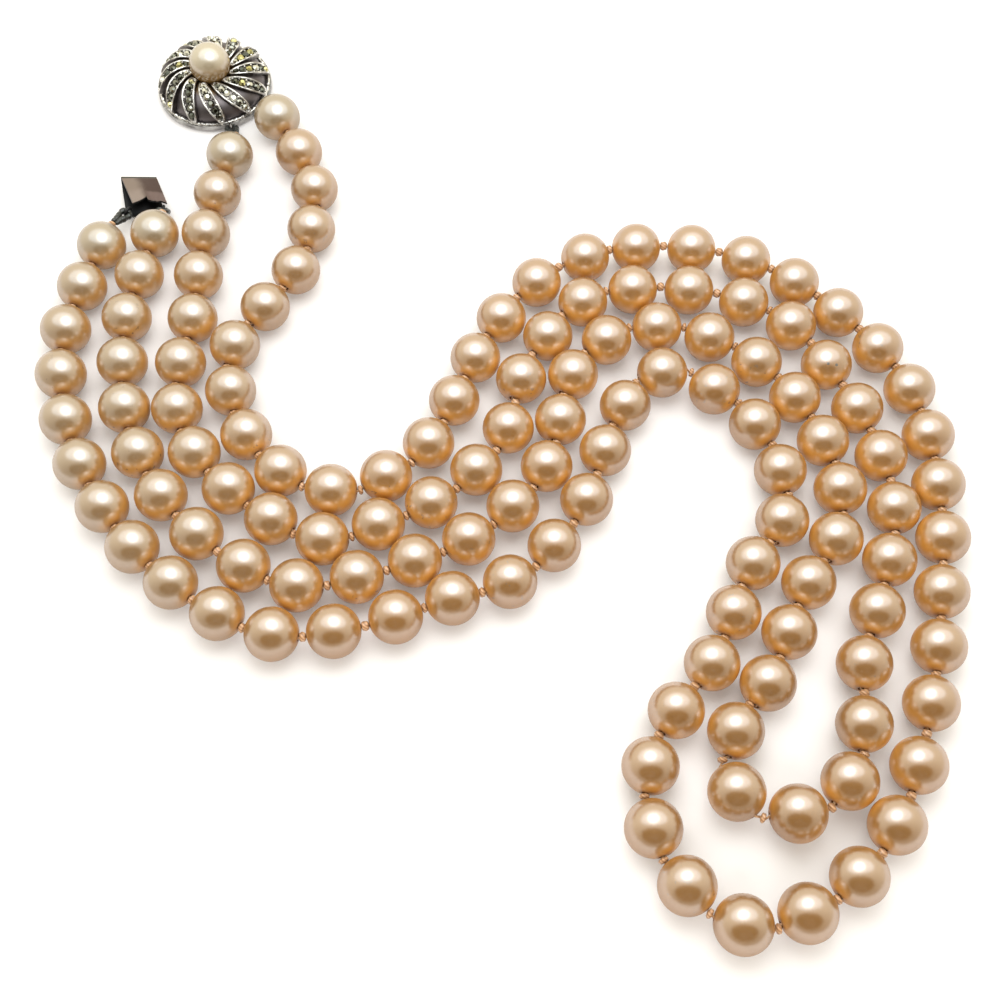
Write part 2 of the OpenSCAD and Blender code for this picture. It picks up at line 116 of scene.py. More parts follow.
# A shader socket that adds a node for each sum or product it is part of.
class Socket:
    def __init__(self, tree, output=None):
        self.tree, self.output = tree, output

    def node(self, kind, settings=None, values=None, out=0):
        made = self.tree.nodes.new("ShaderNode" + kind)
        for key, value in (settings or {}).items():
            setattr(made, key, value)
        for key, value in (values or {}).items():
            if isinstance(value, Socket):
                self.tree.links.new(value.output, made.inputs[key])
            else:
                made.inputs[key].default_value = value
        return Socket(self.tree, made.outputs[out])

    def math(self, operation, *values):
        return self.node("Math", {"operation": operation}, dict(enumerate(values)))

    def __add__(self, other):
        return self.math("ADD", self, other)

    def __sub__(self, other):
        return self.math("SUBTRACT", self, other)

    def __rsub__(self, other):
        return self.math("SUBTRACT", other, self)

    def __mul__(self, other):
        return self.math("MULTIPLY", self, other)

    def __pow__(self, other):
        return self.math("POWER", self, other)

    __radd__, __rmul__ = __add__, __mul__

    # 0 below low, 1 above high, eased between them
    def step(self, low, high):
        settings = {"interpolation_type": "SMOOTHSTEP"}
        return self.node("MapRange", settings, {"Value": self, "From Min": low, "From Max": high})

    # colour a where this is 0, colour b where it is 1
    def mix(self, a, b):
        a, b = (c if isinstance(c, Socket) else (*c, 1) for c in (a, b))
        return self.node("Mix", {"data_type": "RGBA"}, {"Factor": self, 6: a, 7: b}, 2)

    def noise(self, where, scale, detail=3):
        return self.node("TexNoise", {}, {"Vector": where, "Scale": scale, "Detail": detail})

    def attribute(self, name):
        return self.node("Attribute", {"attribute_name": name}, {}, "Fac")

    def place(self):
        return self.node("TexCoord", {}, {}, "Object")

    def bump(self, height, distance, strength):
        return self.node("Bump", {}, {"Height": height, "Distance": distance, "Strength": strength})


# New material: its shader gets fixed numbers on its own sockets and links for what varies.
def makeMaterial(name, build):
    material = bpy.data.materials.new(name)
    material.use_nodes = True
    tree = material.node_tree
    shader = tree.nodes["Principled BSDF"]
    for key, value in build(Socket(tree)).items():
        if isinstance(value, Socket):
            tree.links.new(value.output, shader.inputs[key])
        else:
            socket = shader.inputs[key]
            socket.default_value = (*value, 1) if socket.type == "RGBA" else value
    return material


# A CAD node keeps its mesh and gets one material in place of its own.
def dress(node, material):
    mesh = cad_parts[node].data
    mesh.materials.clear()
    mesh.materials.append(material)
    print("dressed", node)


# Object of the studio: one flat face through some points.
def makeFlat(name, points, material):
    mesh = bpy.data.meshes.new(name)
    mesh.from_pydata(points.tolist(), [], [tuple(range(len(points)))])
    mesh.materials.append(material)
    flat = bpy.data.objects.new(name, mesh)
    bpy.context.scene.collection.objects.link(flat)
    return flat


# Camera at the photograph's angle, aimed at the point of the ground in the middle of the picture.
viewSet = {"aim": (1.7413, -12.909, 0), "elevation": 62.4, "distance": 212.6, "lens": 50,
           "sensor": 36, "clip": (0.01, 20)}
tilt = np.radians(viewSet["elevation"])
aim = np.array(viewSet["aim"]) * mm
toCamera = np.array([0, -np.cos(tilt), np.sin(tilt)])
cameraData = bpy.data.cameras.new("camera")
cameraData.lens, cameraData.sensor_width = viewSet["lens"], viewSet["sensor"]
cameraData.clip_start, cameraData.clip_end = viewSet["clip"]
camera = bpy.data.objects.new("camera", cameraData)
camera.location = aim + viewSet["distance"] * mm * toCamera
camera.rotation_euler = (np.pi / 2 - tilt, 0, 0)
bpy.context.scene.collection.objects.link(camera)
bpy.context.scene.camera = camera
bpy.context.scene.view_settings.view_transform = "Standard"


# Studio: a softbox above the necklace with a bright round middle in a wide dimmer oval, walls that
# are brighter on the far side, and a dark card below the camera, which only mirrored rays meet.
# Places and half sizes in millimetres from the aim.
lightSet = {"coreAt": (0, 55, 215), "core": (92, 92), "corePower": 0.21,
            "haloAt": (0, 105, 216), "halo": (280, 165), "haloPower": 0.45,
            "haloTint": (0.85, 1.0, 1.14),
            "fillAt": (0, -330, 230), "fill": (160, 100), "fillPower": 0.9,
            "front": (0.45, 0.42, 0.345), "back": (1.28, 1.20, 0.96), "turn": (-0.9, 0.5),
            "cardAt": (0, -153, 122), "cardHalf": (170, 92), "cardCorners": 48,
            "card": (0.05, 0.04, 0.03)}
for key in ("core", "halo", "fill"):
    boxLight = bpy.data.lights.new(key, "AREA")
    boxLight.shape, boxLight.energy = "ELLIPSE", lightSet[key + "Power"]
    boxLight.size, boxLight.size_y = (2 * side * mm for side in lightSet[key])
    box = bpy.data.objects.new(key, boxLight)
    box.location = aim + np.array(lightSet[key + "At"]) * mm
    box.visible_camera = False
    if key == "halo":
        boxLight.color = lightSet["haloTint"]
    if key == "fill":
        box.rotation_euler = (np.arctan2(-lightSet["fillAt"][1], lightSet["fillAt"][2]), 0, 0)
        box.visible_glossy = False
    bpy.context.scene.collection.objects.link(box)

world = bpy.context.scene.world or bpy.data.worlds.new("studio")
bpy.context.scene.world = world
world.use_nodes = True
sky = Socket(world.node_tree)
direction = sky.node("TexCoord", {}, {}, "Generated")
away = sky.node("SeparateXYZ", {}, {"Vector": direction}, 1)
wallColour = away.step(*lightSet["turn"]).mix(lightSet["front"], lightSet["back"])
world.node_tree.links.new(wallColour.output, world.node_tree.nodes["Background"].inputs["Color"])


# Dark card: dull, and one colour all over.
def cardFinish(make):
    return {"Base Color": lightSet["card"], "Roughness": 0.9, "Specular IOR Level": 0.0}


# A flat oval that faces the aim: its middle plus its two half sizes by the turn's cosine and sine.
cardAt = np.array(lightSet["cardAt"], float)
cardUp = unit(np.cross(cardAt, [-1.0, 0, 0]))
cardTurn = np.linspace(0, turnOnce, lightSet["cardCorners"], endpoint=False)[:, None]
cardPoints = aim + mm * (cardAt + lightSet["cardHalf"][0] * np.cos(cardTurn) * np.array([1, 0, 0])
                         + lightSet["cardHalf"][1] * np.sin(cardTurn) * cardUp)
card = makeFlat("darkCard", cardPoints, makeMaterial("cardDark", cardFinish))
card.visible_camera = card.visible_diffuse = card.visible_shadow = False
card.visible_transmission = False


# Pale table top, so wide that the photograph's view doesn't reach its edge.
tableSet = {"reach": 3.0, "colours": ((0.655, 0.635, 0.635), (0.695, 0.675, 0.675)),
            "glow": (1.0, 0.93, 0.91), "glowStrength": 0.15}


# Faint clouds in two pale shades, a fine grain, and a weak glow of its own.
def floorFinish(make):
    cloud = make.noise(make.place(), 9.0, 2)
    fine = make.noise(make.place(), 900.0, 2)
    return {"Base Color": cloud.mix(*tableSet["colours"]), "Roughness": 0.55 + 0.1 * cloud,
            "Normal": make.bump(fine, 0.00003, 0.4),
            "Emission Color": tableSet["glow"], "Emission Strength": tableSet["glowStrength"]}


floorPoints = np.array([[-1, -1, 0], [1, -1, 0], [1, 1, 0], [-1, 1, 0]]) * tableSet["reach"]
floor = makeFlat("table", floorPoints, makeMaterial("tablePale", floorFinish))
print("camera, light and table set")


# Islands of a CAD node's loose triangles: points merged where they coincide, then each triangle
# hands its lowest number to its corners until nothing changes.
def islandsOf(node):
    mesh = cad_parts[node].data
    spots = np.zeros(len(mesh.vertices) * 3)
    mesh.vertices.foreach_get("co", spots)
    corners = np.zeros(len(mesh.loops), int)
    mesh.loops.foreach_get("vertex_index", corners)
    mergeStep = 0.002 * mm
    keys, same = np.unique(np.round(spots.reshape(-1, 3) / mergeStep).astype(int), axis=0,
                           return_inverse=True)
    triangles = same.reshape(-1)[corners].reshape(-1, 3)
    label = np.arange(len(keys))
    while True:
        lowest = label[triangles].min(1)
        before = label.copy()
        for k in range(3):
            np.minimum.at(label, triangles[:, k], lowest)
        if (label == before).all():
            break
    return keys * mergeStep, triangles, label


# Centre of the sphere nearest to some points: |p|^2 = 2 c.p + (r^2 - |c|^2), solved for c.
def sphereCentre(points):
    table = np.column_stack([2 * points, np.ones(len(points))])
    return np.linalg.lstsq(table, (points ** 2).sum(1), rcond=None)[0][:3]


# Places and hole directions of a node's drilled pearls, in order along the strand. The wall of a
# hole is the triangles that pass close to the centre, and the hole runs along their longest way.
# The next pearl is always the one with a mouth nearest to where the thread leaves the last.
def strandOf(node, startNear):
    points, triangles, label = islandsOf(node)
    centres, holes = [], []
    wallReach = pearlSet["radius"] * mm * pearlSet["wallShare"]
    for island in np.unique(label[triangles]):
        own = triangles[label[triangles[:, 0]] == island]
        centre = sphereCentre(points[np.unique(own)])
        middles = points[own].mean(1) - centre
        wall = points[own[np.linalg.norm(middles, axis=1) < wallReach]]
        wall = (wall - centre).reshape(-1, 3)
        centres.append(centre)
        holes.append(np.linalg.eigh(wall.T @ wall)[1][:, -1])
    centres, holes = np.array(centres), np.array(holes)
    ends = centres[:, None] + np.array([-1, 1])[:, None] * holes[:, None] * pearlSet["radius"] * mm
    leave = startNear
    order, signs, left = [], [], list(range(len(centres)))
    while left:
        gaps = np.linalg.norm(ends[left] - leave, axis=2)
        row, enters = np.unravel_index(gaps.argmin(), gaps.shape)
        order.append(left.pop(row))
        signs.append(1 - 2 * enters)
        leave = ends[order[-1], 1 - enters]
    return centres[order], holes[order] * np.array(signs)[:, None]


# Pearls: gather draws the rings towards the mouths, a share wallShare of the radius tells a hole's
# wall from the outside, and the reaches are where the numbers for each point fade.
pearlSet = {"radius": 4.0, "bore": 0.5, "lip": 0.06, "around": 36, "along": 26, "gather": 0.06,
            "largest": 0.996, "shrink": 0.008, "wallShare": 0.6, "mouthReach": (0.45, 1.5),
            "underReach": (0, 0.72), "crowdReach": 16}


# Profile of a drilled bead, as places along the hole and distances from it: the arc between the
# two mouths, and a rounded lip that leads into the straight hole at each end.
def beadProfile():
    radius, bore, lip = pearlSet["radius"], pearlSet["bore"], pearlSet["lip"]
    mouth = np.arcsin((bore + lip) / radius)
    arc = np.linspace(mouth, np.pi - mouth, pearlSet["along"])
    arc = arc - pearlSet["gather"] * np.sin(2 * arc)
    arc = (arc - arc[0]) / (arc[-1] - arc[0]) * (np.pi - 2 * mouth) + mouth
    rim = radius * np.cos(mouth)
    ring = np.radians([60, 30, 0])
    lipX = rim - lip + lip * np.sin(ring)
    lipR = bore + lip - lip * np.cos(ring)
    along = np.concatenate([radius * np.cos(arc), -lipX, lipX[::-1]])
    out = np.concatenate([radius * np.sin(arc), lipR, lipR[::-1]])
    return along, out


# How much of what a point of a bead faces is other beads: for each other bead, the cosine of its
# direction from the point's own times the square of its radius over its distance, summed.
def crowding(spots, centre):
    others = np.concatenate([strand[0] for strand in strands.values()])
    apart = np.linalg.norm(others - centre, axis=1)
    others = others[(apart > 0) & (apart < pearlSet["crowdReach"] * mm)]
    toward = others[None] - spots[:, None]
    far = np.linalg.norm(toward, axis=2)
    facing = (toward * unit(spots - centre)[:, None]).sum(2) / far
    return (np.clip(facing, 0, 1) * (pearlSet["radius"] * mm / far) ** 2).sum(1)


# Beads of a strand: the profile turned about each hole, bead by bead, with numbers for each point:
# how near it is to a mouth, how far it is on the underside, how crowded it is, and how grey and
# how worn its bead is. A bead is a little smaller than the part's, by a chance of its own.
def makeStrand(name, node, material, greyOf, wornOf):
    centres, holes = strands[node]
    along, out = beadProfile()
    angles = turnsOf(pearlSet["around"])
    points = np.stack(np.broadcast_arrays(along[:, None], out[:, None] * np.cos(angles),
                                          out[:, None] * np.sin(angles)), -1).reshape(-1, 3) * mm
    quads = gridQuads(len(along), len(angles), True, True)[:, ::-1]
    side = unit(np.cross(holes, up))
    sizes = pearlSet["largest"] - pearlSet["shrink"] * chance.random(len(centres))[:, None, None]
    axes = np.stack([holes, side, np.cross(holes, side)], 1) * sizes
    spots, faces = copied(points, quads, axes, centres)
    mouth = np.repeat(1 - eased(out, *pearlSet["mouthReach"]), len(angles))
    beads = spots.reshape(len(centres), -1, 3)
    crowd = np.concatenate([crowding(bead, centre) for bead, centre in zip(beads, centres)])
    lift = (spots[:, 2] - np.repeat(centres[:, 2], len(points))) / (pearlSet["radius"] * mm)
    values = {"mouth": np.tile(mouth, len(centres)), "grey": np.repeat(greyOf, len(points)),
              "under": 1 - eased(lift, *pearlSet["underReach"]),
              "worn": np.repeat(wornOf, len(points)), "crowd": crowd}
    makePiece(name, spots, faces, material, [node], values=values)


# The third pair of colours is a painted reflection: the gold of neighbouring pearls.
nacreSet = {"nacre": ((0.248, 0.106, 0.019), (0.285, 0.125, 0.026)), "grey": (0.235, 0.165, 0.09),
            "paintedNeighbourGold": ((0.57, 0.265, 0.05), (0.38, 0.225, 0.085)), "worn": (0.20, 0.11, 0.05),
            "chip": (0.05, 0.03, 0.02), "mouth": (0.28, 0.13, 0.05), "tint": (1.0, 0.75, 0.4)}


# Imitation pearl: champagne nacre over glass, a clear gloss, faint clouds and a brown ring of bare
# glass at each mouth. Where other pearls crowd it, their gold is painted on as a reflection, and on
# single pearls it is worn in specks or chipped.
def pearlFinish(make):
    where = make.place()
    grey, mouth, worn, crowd, under = (make.attribute(key) for key in
                                       ("grey", "mouth", "worn", "crowd", "under"))
    cloud = make.noise(where, 160.0, 3)
    fine = make.noise(where, 1500.0, 2)
    colour = cloud.mix(*nacreSet["nacre"])
    colour = grey.mix(colour, nacreSet["grey"])
    # Painted reflection: the gold of the neighbouring pearls, strongest where they crowd this one.
    colour = crowd.step(0.05, 0.7).mix(colour, (grey * 0.6).mix(*nacreSet["paintedNeighbourGold"]))
    speck = worn * make.noise(where, 1100.0, 2).step(0.66, 0.70)
    colour = (speck * 0.8).mix(colour, nacreSet["worn"])
    for chip in chips:
        near = make.node("VectorMath", {"operation": "DISTANCE"},
                         {0: where, 1: tuple(chip)}, "Value")
        speck = speck + (1 - (near * (1 / mm)).step(*chipSet["reach"]))
    colour = (speck - worn).step(0.2, 0.9).mix(colour, nacreSet["chip"])
    colour = (mouth * 0.9).mix(colour, nacreSet["mouth"])
    return {"Base Color": colour, "Metallic": 0.15, "Roughness": 0.42 + 0.06 * cloud,
            "IOR": 1.3, "Specular Tint": nacreSet["tint"],
            "Coat Weight": 1 - 0.5 * under, "Coat Roughness": 0.24, "Coat IOR": 3.25,
            "Normal": make.bump(cloud + 0.15 * fine - 0.6 * speck, 0.00004, 0.5)}


tongueMiddle = np.array([sum(pair) / 2 for pair in zip(*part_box("tongue"))])
pearlNodes = ("outer_pearls", "inner_pearls")
strands = {node: strandOf(node, tongueMiddle) for node in pearlNodes}

# Dark chips: the pearl's number on the inner strand, and how far across and down they lie for the
# camera as shares of its radius, with the rest of that radius towards the camera.
chipSet = {"reach": (0.14, 0.34), "places": ((59, 0.12, -0.25), (39, -0.15, 0.05), (39, 0.18, 0.1),
                                             (33, 0.3, -0.4), (33, 0.42, -0.3))}
downward = np.array([0, -np.sin(tilt), -np.cos(tilt)])
chips = []
for k, across, down in chipSet["places"]:
    front = np.sqrt(1 - across ** 2 - down ** 2)
    aimed = across * np.array([1.0, 0, 0]) + down * downward + front * toCamera
    chips.append(strands["inner_pearls"][0][k] + pearlSet["radius"] * mm * aimed)

# Tone of each pearl: greyer to the left, greyest at both ends of a strand, and worn now and then.
toneSet = {"grey": 0.55, "greyReach": (10, 70), "spread": 0.15, "endGrey": 0.95, "wornAbove": 0.86}
pearlNacre = makeMaterial("pearlNacre", pearlFinish)
for name, node in zip(("outerPearls", "innerPearls"), pearlNodes):
    centres = strands[node][0]
    count = len(centres)
    spans = np.linalg.norm(np.diff(centres, axis=0), axis=1) / mm
    print(node, count, "pearls, steps %.2f to %.2f mm" % (spans.min(), spans.max()))
    leftward = eased(-centres[:, 0] / mm, *toneSet["greyReach"])
    greyOf = toneSet["grey"] * leftward + toneSet["spread"] * chance.random(count)
    greyOf[[0, -1]] = toneSet["endGrey"]
    wornOf = np.where(chance.random(count) > toneSet["wornAbove"], 1.0, 0.0)
    makeStrand(name, node, pearlNacre, greyOf, wornOf)


threadSet = {"radius": 0.2, "knot": 0.72, "shortest": 0.36, "longest": 0.6, "spare": 0.1,
             "rings": 11, "around": 14, "ridge": 0.07, "turns": 0.8, "domePower": 2.6,
             "endKnotAt": 4.33, "bulge": 0.45, "mouthAt": 3.96}


# Places of a strand's knots: the mean of the CAD thread's points that stand out furthest above
# and below its middle, near each gap between pearls.
def knotsOf(node, centres, holes):
    points = islandsOf(node)[0]
    reach = threadSet["endKnotAt"] * mm
    guesses = np.vstack([centres[:1] - holes[:1] * reach, (centres[1:] + centres[:-1]) / 2,
                         centres[-1:] + holes[-1:] * reach])
    bulge = points[np.abs(points[:, 2] - centres[0, 2]) > threadSet["bulge"] * mm]
    away = np.linalg.norm(bulge[None] - guesses[:, None], axis=2)
    mine = (away.argmin(0)[None] == np.arange(len(guesses))[:, None]) * 1.0
    places = mine @ bulge / mine.sum(1)[:, None]
    aims = np.vstack([holes[:1], unit(np.diff(centres, axis=0)), holes[-1:]])
    gaps = np.linalg.norm(np.diff(centres, axis=0), axis=1) / mm / 2 - pearlSet["radius"]
    longest = [threadSet["longest"]]
    lengths = np.concatenate([longest, gaps + threadSet["spare"], longest])
    return places, aims, np.clip(lengths, threadSet["shortest"], threadSet["longest"])


# Thread of a strand: a tube through every hole that swells into a knot in every gap. A knot's
# radius is the thread's plus a dome over its length, with ridges that wind round it.
def makeThread(name, node, pearlNode, material):
    centres, holes = strands[pearlNode]
    places, aims, lengths = knotsOf(node, centres, holes)
    s = np.linspace(-1, 1, threadSet["rings"])
    angles = turnsOf(threadSet["around"])
    dome = np.sqrt(np.clip(1 - np.abs(s) ** threadSet["domePower"], 0, 1))[:, None]
    phase = chance.random(len(places))[:, None, None] * turnOnce
    winding = threadSet["turns"] * np.pi * s[:, None] * 2
    ridge = 1 + threadSet["ridge"] * np.cos(winding - angles + phase)
    swell = threadSet["radius"] + (threadSet["knot"] - threadSet["radius"]) * dome * ridge
    side = unit(np.cross(aims, up))
    rings = places[:, None, None] + mm * (
        (lengths[:, None] * s)[:, :, None, None] * aims[:, None, None]
        + (swell * np.cos(angles))[..., None] * side[:, None, None]
        + (swell * np.sin(angles))[..., None] * up)
    mouthAt = threadSet["mouthAt"] * mm
    holeSide = unit(np.cross(holes, up))
    tube = threadSet["radius"] * mm * (np.cos(angles)[:, None] * holeSide[:, None]
                                       + np.sin(angles)[:, None] * up)
    entry = (centres - holes * mouthAt)[:, None] + tube
    leave = (centres + holes * mouthAt)[:, None] + tube
    rows = [ring for k in range(len(places)) for ring in
            [*rings[k]] + ([entry[k], leave[k]] if k < len(centres) else [])]
    points = np.concatenate(rows)
    faces = gridQuads(len(rows), len(angles), False, True).tolist()
    last = len(points) - len(angles)
    faces += [list(range(len(angles)))[::-1], list(range(last, len(points)))]
    faces = [face[::-1] for face in faces]
    strandEnds[pearlNode] = places[0], places[-1]
    makePiece(name, points, faces, material, [node])


silkSet = {"silk": ((0.30, 0.145, 0.065), (0.58, 0.34, 0.18)), "fuzz": (0.74, 0.52, 0.34)}


# Twisted silk: diagonal bands for its strands, in colour and relief, and pale fuzz.
def silkFinish(make):
    where = make.place()
    fuzz = make.noise(where, 2500.0, 4)
    twist = make.node("TexWave", {"bands_direction": "DIAGONAL"},
                      {"Vector": where, "Scale": 900.0, "Distortion": 1.5, "Detail": 1.0}, "Fac")
    colour = twist.mix(*silkSet["silk"])
    return {"Base Color": (fuzz.step(0.55, 0.8) * 0.3).mix(colour, silkSet["fuzz"]),
            "Roughness": 0.36 + 0.16 * fuzz, "Coat Weight": 0.5, "Coat Roughness": 0.18,
            "Normal": make.bump(twist, 0.00003, 0.5)}


# First and last knot of each strand, which makeThread fills in and the end loops start from.
strandEnds = {}
silkTwist = makeMaterial("silkTwist", silkFinish)
makeThread("outerThread", "outer_thread", "outer_pearls", silkTwist)
makeThread("innerThread", "inner_thread", "inner_pearls", silkTwist)


# Clasp: sizes of its raised ring and its rays, as in the part, about the middle of its pearl.
claspBox = [np.array(corner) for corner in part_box("clasp_pearl")]
claspAt = (claspBox[0] + claspBox[1]) / 2 * np.array([1, 1, 0])
claspSet = {"crownR": 5.35, "crownBase": 1.0, "floorRise": 4.35, "domeRise": 3.8, "domeOver": 0.03,
            "rays": 12, "rayW": 2.4, "sweep": 30, "firstTip": -76, "innerLean": 112.24,
            "tipLean": 14, "wallIn": 0.17, "wallR": 0.185, "wallUp": 0.26, "flangeR": 10.1,
            "flangeTop": 1.4}


# A ray's middle line at share u from its inner end to its tip. It lies on a ring of tube radius
# floorRise about crownR, leans from innerLean to tipLean, and swings back by sweep (1 - u)^1.4.
def rayLine(u):
    lean = np.radians(claspSet["innerLean"] + (claspSet["tipLean"] - claspSet["innerLean"]) * u)
    swing = -np.radians(claspSet["sweep"]) * (1 - u) ** 1.4
    out = np.stack([np.cos(lean) * np.cos(swing), np.cos(lean) * np.sin(swing), np.sin(lean)], -1)
    foot = claspSet["crownR"] * np.stack([np.cos(swing), np.sin(swing), 0 * swing], -1)
    return foot + claspSet["crownBase"] * up + claspSet["floorRise"] * out, out


# Middle line with its three directions: along the ray, across it and out of the ring.
def rayFrame(u):
    point, out = rayLine(u)
    along = unit(rayLine(np.minimum(u + 0.01, 1))[0] - rayLine(np.maximum(u - 0.01, 0))[0])
    return point, along, np.cross(out, along), out


# Half of a ray's width: 0.36 of it, and 0.64 of it times the sine of pi (0.08 + 0.82 u) to the
# power 0.9. So the inner end has 0.54 of it and the tip 0.58.
def rayHalf(u):
    return claspSet["rayW"] / 2 * (0.36 + 0.64 * np.sin(np.pi * (0.08 + 0.82 * u)) ** 0.9)


# Turns of the rays about the clasp's middle, as three axes each.
rayTurns = np.radians(claspSet["firstTip"] + np.arange(claspSet["rays"]) * 360 / claspSet["rays"])
rayAxes = np.stack([np.stack([np.cos(rayTurns), np.sin(rayTurns), 0 * rayTurns], -1),
                    np.stack([-np.sin(rayTurns), np.cos(rayTurns), 0 * rayTurns], -1),
                    np.broadcast_to(up, (len(rayTurns), 3))], 1)


railSet = {"steps": 72, "section": 8, "wobble": 0.06, "orders": (5, 11, 17)}


# Rounded rail round each ray: a closed path u = (1 - c|c|^-0.1)/2, w = s|s|^-0.78 times the half
# width less wallIn, with c and s the cosine and sine of its turn, carried by a ring of uneven radius.
def makeRails(material):
    turn = np.linspace(0, turnOnce, railSet["steps"], endpoint=False)
    c, s = np.cos(turn), np.sin(turn)
    u = (1 - np.sign(c) * np.abs(c) ** 0.9) / 2
    w = np.sign(s) * np.abs(s) ** 0.22 * (rayHalf(u) - claspSet["wallIn"])
    point, along, across, out = rayFrame(u)
    path = point + w[:, None] * across + claspSet["wallUp"] * out
    ahead = unit(np.roll(path, -1, 0) - np.roll(path, 1, 0))
    side = unit(np.cross(ahead, out))
    ring = turnsOf(railSet["section"])
    phase = chance.random((claspSet["rays"], len(railSet["orders"]), 1, 1)) * turnOnce
    uneven = 1 + sum(railSet["wobble"] * np.cos(order * turn[:, None] + phase[:, k])
                     for k, order in enumerate(railSet["orders"]))
    tube = claspSet["wallR"] * (np.cos(ring)[:, None] * side[:, None]
                                + np.sin(ring)[:, None] * out[:, None])
    rails = path[:, None] + uneven[..., None] * tube
    spots = np.einsum("npqk,nkc->npqc", rails, rayAxes).reshape(-1, 3) * mm + claspAt
    quads = gridQuads(len(turn), len(ring), True, True)
    shift = np.arange(claspSet["rays"])[:, None, None] * len(turn) * len(ring)
    makePiece("claspRails", spots, (quads + shift).reshape(-1, 4), material)


# Places in the rays at shares u and distances w across, raised by rise, with their directions.
def onRays(u, w, rise):
    point, along, across, out = rayFrame(u)
    spots = point + w[:, None] * across + rise * out
    spots = np.einsum("pk,nkc->npc", spots, rayAxes).reshape(-1, 3) * mm + claspAt
    frames = np.einsum("pak,nkc->npac", np.stack([along, across, out], 1), rayAxes)
    return spots, frames.reshape(-1, 3, 3)


stoneSet = {"shares": (0.115, 0.265, 0.415, 0.57, 0.725, 0.875), "sides": 8, "most": 1.36,
            "least": 0.8, "border": 0.3, "shrink": 0.12, "height": 0.5, "taller": 0.2,
            "girdle": 0.34, "table": 0.52, "rise": 0.03, "tip": 0.14, "goldAbove": 0.82}


# Cut stone of radius 1: a girdle of flat sides that stands up from z 0, and a smaller table at z 1.
def cutStone():
    sides = stoneSet["sides"]
    turn = (np.arange(sides) + 0.5) / sides * turnOnce
    rings = [np.stack([r * np.cos(turn), r * np.sin(turn), np.full(sides, z)], -1)
             for r, z in ((1, 0), (1, stoneSet["girdle"]), (stoneSet["table"], 1))]
    faces = gridQuads(len(rings), sides, False, True).tolist()
    faces += [list(range(sides))[::-1], list(range(2 * sides, 3 * sides))]
    return np.concatenate(rings), faces


# Stones set in the rays, each a little tipped and turned, with its tone and warmth as numbers.
def makeStones(material):
    u = np.array(stoneSet["shares"])
    spots, frames = onRays(u, 0 * u, stoneSet["rise"])
    count = len(spots)
    room = np.clip(2 * (rayHalf(u) - stoneSet["border"]), stoneSet["least"], stoneSet["most"])
    room = np.tile(room, claspSet["rays"])
    radius = room / 2 * (1 - stoneSet["shrink"] * chance.random(count)) * mm
    spin = chance.random(count) * turnOnce
    along, across, out = frames[:, 0], frames[:, 1], frames[:, 2]
    out = unit(out + stoneSet["tip"] * chance.normal(size=(count, 1)) * along
               + stoneSet["tip"] * chance.normal(size=(count, 1)) * across)
    first = unit(np.cross(across, out)) * np.cos(spin)[:, None] + across * np.sin(spin)[:, None]
    first = unit(first - (first * out).sum(1, keepdims=True) * out)
    height = stoneSet["height"] * mm * (1 + stoneSet["taller"] * chance.random(count))
    axes = np.stack([first * radius[:, None], np.cross(out, first) * radius[:, None],
                     out * height[:, None]], 1)
    points, faces = cutStone()
    placed = np.einsum("pk,nkc->npc", points, axes) + spots[:, None]
    tone = chance.random(count)
    warm = (chance.random(count) > stoneSet["goldAbove"]) * (0.5 + 0.5 * chance.random(count))
    values = {"tone": np.repeat(tone, len(points)), "warm": np.repeat(warm, len(points))}
    makePiece("claspStones", placed.reshape(-1, 3), repeated(faces, len(points), count), material,
              ["marcasites"], smooth=False, values=values)


grainSet = {"size": 0.2, "least": 0.8, "spread": 0.45, "ends": (0.045, 0.955), "border": 0.48,
            "room": 0.12, "rise": 0.2, "rings": 4, "around": 7}


# Silver grains that hold the stones: small balls in pairs, beside each gap between stones and at
# both ends of a ray.
def makeGrains(material):
    shares = np.array(stoneSet["shares"])
    first, last = grainSet["ends"]
    gaps = np.concatenate([[first], (shares[1:] + shares[:-1]) / 2, [last]])
    u = np.repeat(gaps, 2)
    w = np.clip(rayHalf(u) - grainSet["border"], grainSet["room"], 1)
    w = np.tile([-1.0, 1.0], len(gaps)) * w
    spots = onRays(u, w, grainSet["rise"])[0]
    sizes = grainSet["least"] + grainSet["spread"] * chance.random(len(spots))
    sizes = grainSet["size"] * sizes * mm
    points, faces = ball(1.0, grainSet["rings"], grainSet["around"])
    placed = points * sizes[:, None, None] + spots[:, None]
    makePiece("claspGrains", placed.reshape(-1, 3), repeated(faces, len(points), len(spots)),
              material)


# Ball without a hole, closed at its poles.
def ball(radius, rings, around):
    lean = np.linspace(0, np.pi, rings + 2)[1:-1]
    angles = turnsOf(around)
    points = np.stack(np.broadcast_arrays(np.sin(lean)[:, None] * np.cos(angles),
                                          np.sin(lean)[:, None] * np.sin(angles),
                                          np.cos(lean)[:, None]), -1).reshape(-1, 3) * radius
    quads = gridQuads(rings, around, False, True)[:, ::-1].tolist()
    points = np.vstack([points, [[0, 0, radius], [0, 0, -radius]]])
    top, low = len(points) - 2, len(points) - 1
    last = (rings - 1) * around
    caps = [[top, k, (k + 1) % around] for k in range(around)]
    caps += [[low, last + (k + 1) % around, last + k] for k in range(around)]
    return points, quads + caps


# Ring turned about the clasp's middle from a closed profile of radius and height, both of which
# may change with the turn.
def turned(radius, height, turn):
    points = np.stack([radius * np.cos(turn)[:, None], radius * np.sin(turn)[:, None],
                       np.broadcast_to(height, radius.shape)], -1)
    quads = gridQuads(len(turn), radius.shape[1], True, True)
    return points.reshape(-1, 3) * mm + claspAt, quads


domeSet = {"lean": (4, 150), "steps": 36, "thick": 0.6, "around": 96}


